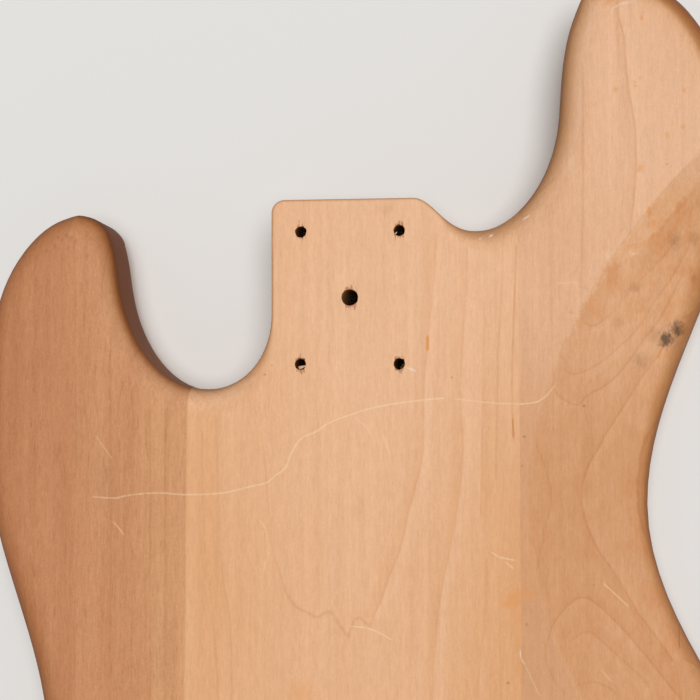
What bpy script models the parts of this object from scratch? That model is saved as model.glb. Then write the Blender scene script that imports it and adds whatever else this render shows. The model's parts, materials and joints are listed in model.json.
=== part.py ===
# Body of a four-string electric bass, bare wood, lying on its front face with its back up.
# Three planks are glued edge to edge, sawn to an offset double-cutaway outline, rounded over,
# scooped for the player's hip and forearm, then routed and drilled for the neck and the fittings.
# Units are metres. X points to the bass side as seen from the back, Y to the neck and Z out of the
# back. The origin is where the centreline crosses the bridge's scale line on the front face.

import math
from collections import namedtuple

import bmesh
import bpy
from mathutils import Matrix, Vector
from mathutils.geometry import delaunay_2d_cdt, interpolate_bezier

# Overall sizes: from the bass horn's tip to the tail, and across the lower bouts
BODY_LENGTH = 0.5133
BODY_WIDTH = 0.3480
BODY_THICKNESS = 0.04445

# The two glue lines between the planks, measured from the centreline
TREBLE_SEAM = -0.0633
BASS_SEAM = 0.0645
PLANK_OVERHANG = 0.010

# The heel's end, where the neck enters, measured along the centreline from the scale line
SCALE_LINE_TO_HEEL = 0.3386

# Outline, seen from the back and measured from the heel's end on the centreline
HEEL_TREBLE_EDGE = 0.0306
HEEL_SIDE_LENGTH = 0.040
HEEL_CORNER_RADIUS = 0.005
HEEL_BASS_END = 0.024
BASS_CUTAWAY = (0.0473, -0.0122)
BASS_HORN_INNER = (0.0800, 0.0330)
BASS_HORN_TIP = (0.1073, 0.0868)
BASS_UPPER_BOUT = (0.1485, 0.0160)
BASS_WAIST = (0.1126, -0.1170)
TREBLE_WAIST = (-0.1195, -0.2080)
TREBLE_UPPER_BOUT = (-0.1456, -0.0960)
TREBLE_HORN_TIP = (-0.1095, -0.0033)
TREBLE_HORN_INNER = (-0.0930, -0.0325)
TREBLE_CUTAWAY = (-0.0585, -0.0727)

# The outline's lower part, set out from the overall sizes
TAIL_TO_CENTRELINE = -0.0450
TREBLE_BOUT_TO_CENTRELINE = -0.1770
BASS_BOUT_TO_TAIL_END = 0.1565
TREBLE_BOUT_TO_TAIL_END = 0.0885
TAIL = (TAIL_TO_CENTRELINE, BASS_HORN_TIP[1] - BODY_LENGTH)
BASS_LOWER_BOUT = (TREBLE_BOUT_TO_CENTRELINE + BODY_WIDTH, TAIL[1] + BASS_BOUT_TO_TAIL_END)
TREBLE_LOWER_BOUT = (TREBLE_BOUT_TO_CENTRELINE, TAIL[1] + TREBLE_BOUT_TO_TAIL_END)

# Points that shape the bends between those: how far across and along the way from one to the
# next each lies, and the outline's heading there, in degrees counterclockwise from +X
HEEL_TO_BASS_CUTAWAY = (0.45, 0.54, -43)
BASS_CUTAWAY_TO_HORN = (0.68, 0.31, 55)
BASS_HORN_INNER_TO_TIP = (0.36, 0.83, 60)
BASS_HORN_TIP_TO_BOUT = (0.55, 0.22, -52)
BASS_BOUT_TO_TAIL = (0.33, 0.82, -152)
TREBLE_BOUT_TO_HORN_TIP = (0.39, 0.85, 52)
TREBLE_HORN_TIP_TO_INNER = (0.72, 0.30, -68)
TREBLE_HORN_INNER_HEADING = -80
BASS_HORN_INNER_HEADING = 86

# Roundover along the outline's two edges
EDGE_RADIUS = 0.0127
HEEL_EDGE_RADIUS = 0.0015
HIP_EDGE_RADIUS = 0.005

# Scoops: how far inside the outline each starts, how steeply it falls and how round it is across
HIP_SCOOP_REACH = 0.0456
HIP_SCOOP_SLOPE = 0.36
HIP_SCOOP_RADIUS = 0.375
FOREARM_SCOOP_REACH = 0.078
FOREARM_SCOOP_SLOPE = 0.20
FOREARM_SCOOP_RADIUS = 1.5
FOREARM_SCOOP_HEADING = -25
FOREARM_SCOOP_BELOW_BOUT = 0.026

# Neck pocket, open at the heel's end, and the bolts through its floor
POCKET_LENGTH = 0.079
POCKET_DEPTH = 0.0159
POCKET_WIDTH_INSIDE = 0.0635
POCKET_WIDTH_AT_HEEL = 0.0620
POCKET_CORNER_RADIUS = 0.008
BOLT_HOLE_DIAMETER = 0.0042
BOLT_SPACING_ACROSS = 0.038
BOLT_SPACING_ALONG = 0.051
BOLT_ROW_TO_HEEL = 0.0127
HANGING_HOLE_DIAMETER = 0.0060

# Pickup routes, with ears for the mounting screws, measured from the scale line
NECK_PICKUP_TO_SCALE_LINE = 0.1524
BRIDGE_PICKUP_TO_SCALE_LINE = 0.0610
PICKUP_ROUTE_LENGTH = 0.0955
PICKUP_ROUTE_WIDTH = 0.0200
PICKUP_ROUTE_DEPTH = 0.0200
PICKUP_EAR_SPACING = 0.0740
PICKUP_EAR_WIDTH = 0.0130
PICKUP_EAR_LENGTH = 0.0330
PICKUP_CORNER_RADIUS = 0.0040

# Control route, as the centres of its two round ends measured from the origin
CONTROL_ROUTE_TOP = (-0.0850, 0.0640)
CONTROL_ROUTE_BOTTOM = (-0.0970, -0.0230)
CONTROL_ROUTE_WIDTH = 0.0380
CONTROL_ROUTE_DEPTH = 0.0350

# Wire channels drilled between the routes, and the earth wire's hole under the bridge
WIRE_CHANNEL_DIAMETER = 0.0080
WIRE_CHANNEL_DEPTH = 0.0130
WIRE_CHANNEL_OFFSET = -0.0150
EARTH_HOLE_DIAMETER = 0.0032
EARTH_HOLE_TO_SCALE_LINE = 0.0120

# Pilot holes for the bridge plate's five screws and the two strap buttons
BRIDGE_SCREW_DIAMETER = 0.0026
BRIDGE_SCREW_DEPTH = 0.0180
BRIDGE_SCREW_PITCH = 0.0152
BRIDGE_SCREWS = 5
BRIDGE_SCREWS_TO_SCALE_LINE = 0.0330
STRAP_SCREW_DIAMETER = 0.0030
STRAP_SCREW_DEPTH = 0.0220

# Linear colours of the three bare planks
TREBLE_WOOD = (0.58, 0.27, 0.14)
CENTRE_WOOD = (0.79, 0.46, 0.27)
BASS_WOOD = (0.70, 0.40, 0.22)
WOOD_ROUGHNESS = 0.6

# How finely the curves are divided, and the angle above which an edge is shown sharp
OUTLINE_STEP = 0.012
OUTLINE_TURN = math.radians(9)
EDGE_SEGMENTS = 5
CORNER_SEGMENTS = 5
HOLE_SIDES = 16
PILOT_SIDES = 8
SCOOP_STEP = 0.015
SCOOP_CLEARANCE = 0.004
SHARP_ANGLE = math.radians(25)

# How far a cutter runs past the face that it opens, and the wall left between two roundovers
CUT_PAST = 0.004
LEAST_WALL = 0.002

# How much of a narrow tip a roundover may take, and how fast it may grow along the edge
EDGE_SHARE = 0.95
EDGE_TAPER = 0.6

# How much of a route's width the radius at its corners may take
ROUND_END_SHARE = 0.499

Knot = namedtuple("Knot", "x y heading back_edge front_edge")
Sample = namedtuple("Sample", "point outward back_edge front_edge")
Scoop = namedtuple("Scoop", "start direction slope radius")


def clear_scene():
    for obj in list(bpy.data.objects):
        bpy.data.objects.remove(obj, do_unlink=True)


def wood(name, colour):
    material = bpy.data.materials.new(name)
    material.use_nodes = True
    shader = material.node_tree.nodes["Principled BSDF"]
    shader.inputs["Base Color"].default_value = (*colour, 1)
    shader.inputs["Roughness"].default_value = WOOD_ROUGHNESS
    shader.inputs["Metallic"].default_value = 0
    return material


def mix(first, second, share):
    return first + (second - first) * share


def ease(share):
    return share * share * (3 - 2 * share)


def bend(first, second, shape, edges):
    """A knot between two points of the outline, shaped as its constant says."""
    across, along, heading = shape
    return Knot(mix(first[0], second[0], across), mix(first[1], second[1], along), heading, *edges)


def outline_knots():
    """Clockwise from the treble side of the heel."""
    heel_edges = (HEEL_EDGE_RADIUS, HEEL_EDGE_RADIUS)
    full_edges = (EDGE_RADIUS, EDGE_RADIUS)
    heel_end = (HEEL_BASS_END, 0)
    return [
        Knot(-HEEL_TREBLE_EDGE, -HEEL_SIDE_LENGTH, 90, *heel_edges),
        Knot(-HEEL_TREBLE_EDGE, -HEEL_CORNER_RADIUS, 90, *heel_edges),
        Knot(HEEL_CORNER_RADIUS - HEEL_TREBLE_EDGE, 0, 0, *heel_edges),
        Knot(*heel_end, 0, *heel_edges),
        bend(heel_end, BASS_CUTAWAY, HEEL_TO_BASS_CUTAWAY, heel_edges),
        Knot(*BASS_CUTAWAY, 0, *full_edges),
        bend(BASS_CUTAWAY, BASS_HORN_INNER, BASS_CUTAWAY_TO_HORN, full_edges),
        Knot(*BASS_HORN_INNER, BASS_HORN_INNER_HEADING, *full_edges),
        bend(BASS_HORN_INNER, BASS_HORN_TIP, BASS_HORN_INNER_TO_TIP, full_edges),
        Knot(*BASS_HORN_TIP, 0, *full_edges),
        bend(BASS_HORN_TIP, BASS_UPPER_BOUT, BASS_HORN_TIP_TO_BOUT, full_edges),
        Knot(*BASS_UPPER_BOUT, -90, *full_edges),
        Knot(*BASS_WAIST, -90, HIP_EDGE_RADIUS, EDGE_RADIUS),
        Knot(*BASS_LOWER_BOUT, -90, *full_edges),
        bend(BASS_LOWER_BOUT, TAIL, BASS_BOUT_TO_TAIL, full_edges),
        Knot(*TAIL, 180, *full_edges),
        Knot(*TREBLE_LOWER_BOUT, 90, *full_edges),
        Knot(*TREBLE_WAIST, 90, *full_edges),
        Knot(*TREBLE_UPPER_BOUT, 90, *full_edges),
        bend(TREBLE_UPPER_BOUT, TREBLE_HORN_TIP, TREBLE_BOUT_TO_HORN_TIP, full_edges),
        Knot(*TREBLE_HORN_TIP, 0, *full_edges),
        bend(TREBLE_HORN_TIP, TREBLE_HORN_INNER, TREBLE_HORN_TIP_TO_INNER, full_edges),
        Knot(*TREBLE_HORN_INNER, TREBLE_HORN_INNER_HEADING, *full_edges),
        Knot(*TREBLE_CUTAWAY, 0, *full_edges),
    ]


def heading_vector(degrees):
    angle = math.radians(degrees)
    return Vector((math.cos(angle), math.sin(angle)))


def turn_between(first, second):
    """Degrees turned from one heading to the next, from -180 to 180."""
    return (second - first + 180) % 360 - 180


def curve_between(first, second):
    """Points of a smooth curve from one knot up to the next, close to an arc."""
    start = Vector((first.x, first.y))
    end = Vector((second.x, second.y))
    along = heading_vector(first.heading)
    turn = math.radians(turn_between(first.heading, second.heading))
    handle = (end - start).length / (3 * math.cos(turn / 4) ** 2)
    steps = math.ceil(max((end - start).length / OUTLINE_STEP, abs(turn) / OUTLINE_TURN))
    if abs(turn) + abs(along.cross(end - start)) < 1e-6:
        steps = 1
    start_handle = start + along * handle
    end_handle = end - heading_vector(second.heading) * handle
    return interpolate_bezier(start, start_handle, end_handle, end, steps + 1)[:-1]


def outline_samples():
    """The outline's points with their outward directions and the edge radii there."""
    knots = outline_knots()
    points = []
    back_edges = []
    front_edges = []
    for first, second in zip(knots, knots[1:] + knots[:1]):
        curve = curve_between(first, second)
        for place, point in enumerate(curve):
            share = ease(place / len(curve))
            points.append(Vector((point[0], point[1] + SCALE_LINE_TO_HEEL)))
            back_edges.append(mix(first.back_edge, second.back_edge, share))
            front_edges.append(mix(first.front_edge, second.front_edge, share))
    outward = []
    for place in range(len(points)):
        along = points[(place + 1) % len(points)] - points[place - 1]
        outward.append(Vector((-along.y, along.x)).normalized())
    back_edges = roundovers(points, outward, back_edges)
    front_edges = roundovers(points, outward, front_edges)
    return [Sample(*row) for row in zip(points, outward, back_edges, front_edges)]


def roundovers(points, outward, wanted):
    """The radii that fit, so that none meets the one across from it and neighbours taper evenly."""
    fitting = []
    for point, direction, radius in zip(points, outward, wanted):
        half_wall = (back_height(point) - front_height(point) - LEAST_WALL) / 2
        fitting.append(min(radius, half_wall, EDGE_SHARE * inner_disc_radius(points, point, -direction)))
    return [
        min(radius + EDGE_TAPER * (point - other).length for radius, other in zip(fitting, points))
        for point in points
    ]


def inner_disc_radius(points, point, inward):
    """The radius of the largest disc that touches the outline from inside at this point."""
    least = math.inf
    for other in points:
        offset = other - point
        inside = offset.dot(inward)
        if inside > 1e-6:
            least = min(least, offset.length_squared / (2 * inside))
    return least


def hip_scoop():
    start = Vector((BASS_WAIST[0] - HIP_SCOOP_REACH, BASS_WAIST[1] + SCALE_LINE_TO_HEEL))
    return Scoop(start, heading_vector(0), HIP_SCOOP_SLOPE, HIP_SCOOP_RADIUS)


def forearm_scoop():
    direction = heading_vector(FOREARM_SCOOP_HEADING)
    edge = Vector((BASS_LOWER_BOUT[0], BASS_LOWER_BOUT[1] + SCALE_LINE_TO_HEEL))
    start = edge - direction * FOREARM_SCOOP_REACH - Vector((0, FOREARM_SCOOP_BELOW_BOUT))
    return Scoop(start, direction, FOREARM_SCOOP_SLOPE, FOREARM_SCOOP_RADIUS)


def scoop_depth(scoop, point):
    offset = point - scoop.start
    along = offset.dot(scoop.direction)
    across = offset.cross(scoop.direction)
    return max(0.0, scoop.slope * along - across * across / (2 * scoop.radius))


def back_height(point):
    return BODY_THICKNESS - scoop_depth(hip_scoop(), point)


def front_height(point):
    return scoop_depth(forearm_scoop(), point)


def scoop_points(scoop, ring):
    """Points over a scoop's floor, its first row on the line where it leaves the flat face."""
    points = []
    rows = math.ceil(BODY_THICKNESS / scoop.slope / SCOOP_STEP)
    half_width = math.sqrt(2 * scoop.radius * BODY_THICKNESS)
    columns = math.ceil(half_width / SCOOP_STEP)
    sideways = Vector((-scoop.direction.y, scoop.direction.x))
    for column in range(-columns, columns + 1):
        across = column * SCOOP_STEP
        rim = across * across / (2 * scoop.radius * scoop.slope)
        for row in range(rows):
            along = rim + row * SCOOP_STEP
            point = scoop.start + scoop.direction * along + sideways * across
            if min((point - corner).length for corner in ring) > SCOOP_CLEARANCE:
                points.append(point)
    return points


def edge_ring(mesh, samples, step, back):
    """One ring of the roundover: step 0 lies on the wall and the last step on the face."""
    angle = math.radians(90) * step / EDGE_SEGMENTS
    ring = []
    for sample in samples:
        radius = sample.back_edge if back else sample.front_edge
        point = sample.point - sample.outward * radius * (1 - math.cos(angle))
        fall = radius * (1 - math.sin(angle))
        height = back_height(point) - fall if back else front_height(point) + fall
        ring.append(mesh.verts.new((*point, height)))
    return ring


def skin(mesh, upper, lower):
    for place in range(len(upper)):
        following = (place + 1) % len(upper)
        mesh.faces.new((upper[place], upper[following], lower[following], lower[place]))


def fill(mesh, ring, extra, height, back):
    """Closes a ring with triangles through the extra points, which lie at the height of the face there."""
    flat = [vertex.co.xy for vertex in ring] + extra
    rim = [(place, (place + 1) % len(ring)) for place in range(len(ring))]
    points, _, triangles, sources, _, _ = delaunay_2d_cdt(flat, rim, [], 1, 1e-7)
    corners = {}
    for triangle in triangles:
        vertices = []
        for place in triangle:
            source = sources[place][0]
            if source < len(ring):
                vertices.append(ring[source])
                continue
            if place not in corners:
                corners[place] = mesh.verts.new((*points[place], height(points[place])))
            vertices.append(corners[place])
        mesh.faces.new(vertices if back else reversed(vertices))


def helper(name, mesh):
    """An object that shapes others and isn't a piece itself."""
    data = bpy.data.meshes.new(name)
    bmesh.ops.recalc_face_normals(mesh, faces=mesh.faces)
    mesh.to_mesh(data)
    mesh.free()
    data.shade_smooth()
    data.set_sharp_from_angle(angle=SHARP_ANGLE)
    obj = bpy.data.objects.new(name, data)
    bpy.context.collection.objects.link(obj)
    obj.hide_render = True
    obj.display_type = "WIRE"
    return obj


def shaped_body():
    """The whole body's outer form as one lofted solid, before it is routed."""
    mesh = bmesh.new()
    samples = outline_samples()
    steps = range(EDGE_SEGMENTS + 1)
    rings = [edge_ring(mesh, samples, step, True) for step in reversed(steps)]
    rings += [edge_ring(mesh, samples, step, False) for step in steps]
    for upper, lower in zip(rings, rings[1:]):
        skin(mesh, upper, lower)
    for ring, scoop, height, back in (
        (rings[0], hip_scoop(), back_height, True),
        (rings[-1], forearm_scoop(), front_height, False),
    ):
        corners = [vertex.co.xy for vertex in ring]
        fill(mesh, ring, scoop_points(scoop, corners), height, back)
    obj = helper("outer_form", mesh)
    return obj


def box_mesh(low, high):
    """A box whose corners hold exactly these numbers, so that neighbours can meet face to face."""
    mesh = bmesh.new()
    bmesh.ops.create_cube(mesh, size=2)
    for vertex in mesh.verts:
        vertex.co = [high[axis] if vertex.co[axis] > 0 else low[axis] for axis in range(3)]
    return mesh


def upright_edges(mesh, keep):
    return [
        edge
        for edge in mesh.edges
        if (edge.verts[0].co.xy - edge.verts[1].co.xy).length < 1e-6 and keep(edge.verts[0].co)
    ]


def route_cutter(name, centre, length, width, depth, corner_radius, turned=0.0):
    """A cavity in the front face with rounded corners, its length along X before it is turned."""
    mesh = box_mesh((-length / 2, -width / 2, -CUT_PAST), (length / 2, width / 2, depth))
    radius = min(corner_radius, ROUND_END_SHARE * length, ROUND_END_SHARE * width)
    edges = upright_edges(mesh, lambda corner: True)
    bmesh.ops.bevel(mesh, geom=edges, offset=radius, segments=CORNER_SEGMENTS, profile=0.5, affect="EDGES")
    place = Matrix.Translation((*centre, 0)) @ Matrix.Rotation(turned, 4, "Z")
    bmesh.ops.transform(mesh, matrix=place, verts=mesh.verts)
    return helper(name, mesh)


def drill_cutter(name, start, end, diameter, sides):
    """A round hole from start to end, two points in space."""
    start = Vector(start)
    end = Vector(end)
    mesh = bmesh.new()
    bmesh.ops.create_cone(
        mesh,
        cap_ends=True,
        segments=sides,
        radius1=diameter / 2,
        radius2=diameter / 2,
        depth=(end - start).length,
    )
    turned = (end - start).to_track_quat("Z", "Y").to_matrix().to_4x4()
    bmesh.ops.transform(mesh, matrix=Matrix.Translation((start + end) / 2) @ turned, verts=mesh.verts)
    return helper(name, mesh)


def neck_pocket():
    """The pocket narrows towards the heel's end and leaves the body there and at the treble cutaway."""
    heel = SCALE_LINE_TO_HEEL + CUT_PAST
    inner = SCALE_LINE_TO_HEEL - POCKET_LENGTH
    half = POCKET_WIDTH_INSIDE / 2
    mesh = box_mesh((-half, inner, -CUT_PAST), (half, heel, POCKET_DEPTH))
    for vertex in mesh.verts:
        if vertex.co.y > SCALE_LINE_TO_HEEL:
            vertex.co.x *= POCKET_WIDTH_AT_HEEL / POCKET_WIDTH_INSIDE
    edges = upright_edges(mesh, lambda corner: corner.y < SCALE_LINE_TO_HEEL - POCKET_LENGTH / 2)
    bmesh.ops.bevel(
        mesh, geom=edges, offset=POCKET_CORNER_RADIUS, segments=CORNER_SEGMENTS, profile=0.5, affect="EDGES"
    )
    return [helper("neck_pocket", mesh)]


def neck_holes():
    """Four bolt holes through the heel, and the one at their middle that a body is hung by."""
    near = SCALE_LINE_TO_HEEL - BOLT_ROW_TO_HEEL
    far = near - BOLT_SPACING_ALONG
    half = BOLT_SPACING_ACROSS / 2
    places = [(x, y, BOLT_HOLE_DIAMETER) for y in (near, far) for x in (-half, half)]
    places.append((0, (near + far) / 2, HANGING_HOLE_DIAMETER))
    cutters = []
    for place, (x, y, diameter) in enumerate(places):
        start = (x, y, POCKET_DEPTH - CUT_PAST)
        end = (x, y, BODY_THICKNESS + CUT_PAST)
        cutters.append(drill_cutter(f"neck_hole_{place}", start, end, diameter, HOLE_SIDES))
    return cutters


def pickup_route(name, distance):
    cutters = [
        route_cutter(
            f"{name}_route",
            (0, distance),
            PICKUP_ROUTE_LENGTH,
            PICKUP_ROUTE_WIDTH,
            PICKUP_ROUTE_DEPTH,
            PICKUP_CORNER_RADIUS,
        )
    ]
    for side in (-1, 1):
        cutters.append(
            route_cutter(
                f"{name}_ears_{side}",
                (side * PICKUP_EAR_SPACING / 2, distance),
                PICKUP_EAR_WIDTH,
                PICKUP_EAR_LENGTH,
                PICKUP_ROUTE_DEPTH,
                PICKUP_EAR_WIDTH / 2,
            )
        )
    return cutters


def control_route():
    top = Vector(CONTROL_ROUTE_TOP)
    bottom = Vector(CONTROL_ROUTE_BOTTOM)
    run = top - bottom
    length = run.length + CONTROL_ROUTE_WIDTH
    turned = math.atan2(run.y, run.x)
    radius = CONTROL_ROUTE_WIDTH / 2
    centre = (top + bottom) / 2
    width = CONTROL_ROUTE_WIDTH
    return [route_cutter("control_route", centre, length, width, CONTROL_ROUTE_DEPTH, radius, turned)]


def wire_channels():
    between_pickups = (
        (WIRE_CHANNEL_OFFSET, NECK_PICKUP_TO_SCALE_LINE, WIRE_CHANNEL_DEPTH),
        (WIRE_CHANNEL_OFFSET, BRIDGE_PICKUP_TO_SCALE_LINE, WIRE_CHANNEL_DEPTH),
    )
    to_controls = (
        (-PICKUP_EAR_SPACING / 2, BRIDGE_PICKUP_TO_SCALE_LINE, WIRE_CHANNEL_DEPTH),
        (*CONTROL_ROUTE_TOP, WIRE_CHANNEL_DEPTH),
    )
    under_bridge = (
        (WIRE_CHANNEL_OFFSET, -EARTH_HOLE_TO_SCALE_LINE, 0),
        (*CONTROL_ROUTE_BOTTOM, CONTROL_ROUTE_DEPTH / 2),
    )
    earth_start = Vector(under_bridge[0])
    earth_way = (Vector(under_bridge[1]) - earth_start).normalized()
    earth_start -= earth_way * CUT_PAST / earth_way.z
    return [
        drill_cutter("pickup_wire_channel", *between_pickups, WIRE_CHANNEL_DIAMETER, PILOT_SIDES),
        drill_cutter("control_wire_channel", *to_controls, WIRE_CHANNEL_DIAMETER, PILOT_SIDES),
        drill_cutter("earth_wire_hole", earth_start, under_bridge[1], EARTH_HOLE_DIAMETER, PILOT_SIDES),
    ]


def bridge_pilots():
    cutters = []
    for place in range(BRIDGE_SCREWS):
        x = (place - (BRIDGE_SCREWS - 1) / 2) * BRIDGE_SCREW_PITCH
        start = (x, -BRIDGE_SCREWS_TO_SCALE_LINE, -CUT_PAST)
        end = (x, -BRIDGE_SCREWS_TO_SCALE_LINE, BRIDGE_SCREW_DEPTH)
        name = f"bridge_pilot_{place}"
        cutters.append(drill_cutter(name, start, end, BRIDGE_SCREW_DIAMETER, PILOT_SIDES))
    return cutters


def strap_pilots():
    """One hole into the end of the bass horn and one into the tail, each square to the edge it enters."""
    cutters = []
    middle = BODY_THICKNESS / 2
    for name, (x, y), inward in (("horn", BASS_HORN_TIP, -1), ("tail", TAIL, 1)):
        edge = y + SCALE_LINE_TO_HEEL
        start = (x, edge - inward * CUT_PAST, middle)
        end = (x, edge + inward * STRAP_SCREW_DEPTH, middle)
        cutters.append(drill_cutter(f"strap_pilot_{name}", start, end, STRAP_SCREW_DIAMETER, PILOT_SIDES))
    return cutters


def add_boolean(obj, other, operation):
    modifier = obj.modifiers.new(other.name, "BOOLEAN")
    modifier.operation = operation
    modifier.object = other
    modifier.solver = "EXACT"


def reach_across(obj):
    across = [corner[0] for corner in obj.bound_box]
    return min(across), max(across)


def stave(name, left, right, form, cutters, material):
    """One plank between two lines along the body, cut to the outer form and routed."""
    lengthwise = [y + SCALE_LINE_TO_HEEL for y in (TAIL[1], BASS_HORN_TIP[1])]
    low = (left, lengthwise[0] - PLANK_OVERHANG, -PLANK_OVERHANG)
    high = (right, lengthwise[1] + PLANK_OVERHANG, BODY_THICKNESS + PLANK_OVERHANG)
    mesh = box_mesh(low, high)
    data = bpy.data.meshes.new(name)
    mesh.to_mesh(data)
    mesh.free()
    obj = bpy.data.objects.new(name, data)
    bpy.context.collection.objects.link(obj)
    data.materials.append(material)
    add_boolean(obj, form, "INTERSECT")
    for cutter in cutters:
        nearest, farthest = reach_across(cutter)
        if nearest < right and farthest > left:
            add_boolean(obj, cutter, "DIFFERENCE")
    return obj


def build():
    clear_scene()
    form = shaped_body()
    cutters = neck_pocket() + neck_holes()
    cutters += pickup_route("neck_pickup", NECK_PICKUP_TO_SCALE_LINE)
    cutters += pickup_route("bridge_pickup", BRIDGE_PICKUP_TO_SCALE_LINE)
    cutters += control_route() + wire_channels() + bridge_pilots() + strap_pilots()
    outer_left = TREBLE_LOWER_BOUT[0] - PLANK_OVERHANG
    outer_right = BASS_LOWER_BOUT[0] + PLANK_OVERHANG
    treble = wood("treble_stave_wood", TREBLE_WOOD)
    centre = wood("centre_stave_wood", CENTRE_WOOD)
    bass = wood("bass_stave_wood", BASS_WOOD)
    datum = bpy.data.objects.new("scale_line_datum", None)
    bpy.context.collection.objects.link(datum)
    staves = [
        stave("treble_side_stave", outer_left, TREBLE_SEAM, form, cutters, treble),
        stave("centre_stave", TREBLE_SEAM, BASS_SEAM, form, cutters, centre),
        stave("bass_side_stave", BASS_SEAM, outer_right, form, cutters, bass),
    ]
    for piece in staves:
        piece.parent = datum


build()
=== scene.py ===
# Body of a four-string electric bass in bare wood, lying back up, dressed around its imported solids
import json
import math
import random
from functools import partialmethod, reduce

import bmesh
import bpy
from mathutils import Matrix, Vector
from mathutils.geometry import interpolate_bezier

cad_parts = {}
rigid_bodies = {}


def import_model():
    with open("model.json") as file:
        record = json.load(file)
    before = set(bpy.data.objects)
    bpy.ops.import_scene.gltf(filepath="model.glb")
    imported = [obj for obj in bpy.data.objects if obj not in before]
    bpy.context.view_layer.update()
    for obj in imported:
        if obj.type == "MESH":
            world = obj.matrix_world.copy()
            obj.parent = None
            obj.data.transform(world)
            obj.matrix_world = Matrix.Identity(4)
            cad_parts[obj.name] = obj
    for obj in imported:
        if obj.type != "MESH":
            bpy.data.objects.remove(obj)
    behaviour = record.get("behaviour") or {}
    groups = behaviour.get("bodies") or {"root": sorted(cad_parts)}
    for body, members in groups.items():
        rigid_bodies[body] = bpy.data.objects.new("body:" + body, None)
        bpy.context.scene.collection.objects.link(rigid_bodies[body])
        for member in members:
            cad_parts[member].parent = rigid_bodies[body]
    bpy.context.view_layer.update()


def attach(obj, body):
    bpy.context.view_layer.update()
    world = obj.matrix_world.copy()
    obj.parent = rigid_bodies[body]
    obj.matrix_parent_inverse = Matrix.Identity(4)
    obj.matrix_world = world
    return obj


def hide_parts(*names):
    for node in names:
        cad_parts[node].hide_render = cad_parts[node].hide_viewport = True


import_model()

scene = bpy.context.scene


# Small helpers

def clearLight():
    for obj in list(scene.objects):
        if obj.type in {"LIGHT", "CAMERA"}:
            bpy.data.objects.remove(obj, do_unlink=True)


def meshObject(name, bm):
    data = bpy.data.meshes.new(name)
    bm.to_mesh(data)
    bm.free()
    obj = bpy.data.objects.new(name, data)
    scene.collection.objects.link(obj)
    return obj


def mix(first, second, share):
    return first + (second - first) * share


# Outer form of the body

bodyShape = {
    "thickness": 0.04445,
    "heelY": 0.3386,  # the heel's end, from the bridge's scale line
    "trebleSeam": -0.0633,
    "bassSeam": 0.0645,
    "stepsPerBend": 18,
    "edgeRings": 10,
    "edgeTaper": 0.6,
    "leastWall": 0.002,
    "supportInset": 0.0006,
    "scoopRows": 26,
}
heelY, thickness = bodyShape["heelY"], bodyShape["thickness"]

softEdge = (0.0127, 0.0127)  # roundover on the back and on the front
heelEdge = (0.0015, 0.0015)
hipEdge = (0.005, 0.0127)

# x, y from the heel's end, heading in degrees, roundovers if not soft; clockwise from the heel's treble side
outlinePoints = [
    (-0.0304, -0.0445, 90, heelEdge),
    (-0.0306, -0.0050, 90, heelEdge),
    (-0.0256, 0.0000, 0, heelEdge),
    (0.0240, 0.0000, 0, heelEdge),
    (0.0345, -0.0066, -43, heelEdge),
    (0.0464, -0.0122, 0),  # bass cutaway
    (0.0695, 0.0018, 55),
    (0.0800, 0.0330, 86),
    (0.0893, 0.0780, 60),
    (0.1073, 0.0836, 0),  # tip of the bass horn
    (0.1300, 0.0712, -52),
    (0.1485, 0.0160, -90),
    (0.1126, -0.1170, -90, hipEdge),  # waist
    (0.1710, -0.2700, -90),
    (0.0997, -0.3983, -152),
    (-0.0450, -0.4265, 180),  # tail
    (-0.1770, -0.3380, 90),
    (-0.1197, -0.2120, 90),
    (-0.1456, -0.0960, 90),
    (-0.1315, -0.0172, 52),
    (-0.1088, -0.0036, 0),  # tip of the treble horn
    (-0.0968, -0.0119, -71),
    (-0.0928, -0.0325, -80),
    (-0.0570, -0.0725, 0),  # treble cutaway
]

def headingWay(degrees):
    return Vector((math.cos(math.radians(degrees)), math.sin(math.radians(degrees))))


hipScoop = {"start": Vector((0.067, 0.2216)), "way": Vector((1, 0)), "slope": 0.36, "roundness": 0.375}
forearmScoop = {"start": Vector((0.1003, 0.0756)), "way": headingWay(-25), "slope": 0.2, "roundness": 1.5}


def outlineWay():
    # the outline's points, on Bezier bends whose handles keep each of them close to an arc
    points = []
    for near, far in zip(outlinePoints, outlinePoints[1:] + outlinePoints[:1]):
        start, end = [Vector((row[0], row[1] + heelY)) for row in (near, far)]
        turn = math.radians((far[2] - near[2] + 180) % 360 - 180)
        reach = (end - start).length / (3 * math.cos(turn / 4) ** 2)
        handles = start + headingWay(near[2]) * reach, end - headingWay(far[2]) * reach
        points += interpolate_bezier(start, *handles, end, bodyShape["stepsPerBend"] + 1)[:-1]
    return points


def scoopDepth(scoop, point):
    offset = point - scoop["start"]
    across = offset.cross(scoop["way"])
    return max(0, scoop["slope"] * offset.dot(scoop["way"]) - across * across / (2 * scoop["roundness"]))


def backHeight(point):
    return thickness - scoopDepth(hipScoop, point)


def frontHeight(point):
    return scoopDepth(forearmScoop, point)


def discInside(points, point, inward):
    # radius of the largest disc that touches the outline from inside at this point
    offsets = [other - point for other in points if (other - point).dot(inward) > 1e-6]
    return min(offset.length_squared / (2 * offset.dot(inward)) for offset in offsets)


def fittingEdges(points, outward, wanted):
    # roundovers that neither meet across a narrow tip nor change abruptly
    fitting = []
    for point, way, radius in zip(points, outward, wanted):
        halfWall = (backHeight(point) - frontHeight(point) - bodyShape["leastWall"]) / 2
        fitting.append(min(radius, halfWall, 0.95 * discInside(points, point, -way)))
    taper = bodyShape["edgeTaper"]
    return [
        min(radius + taper * (point - other).length for radius, other in zip(fitting, points))
        for point in points
    ]


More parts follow.
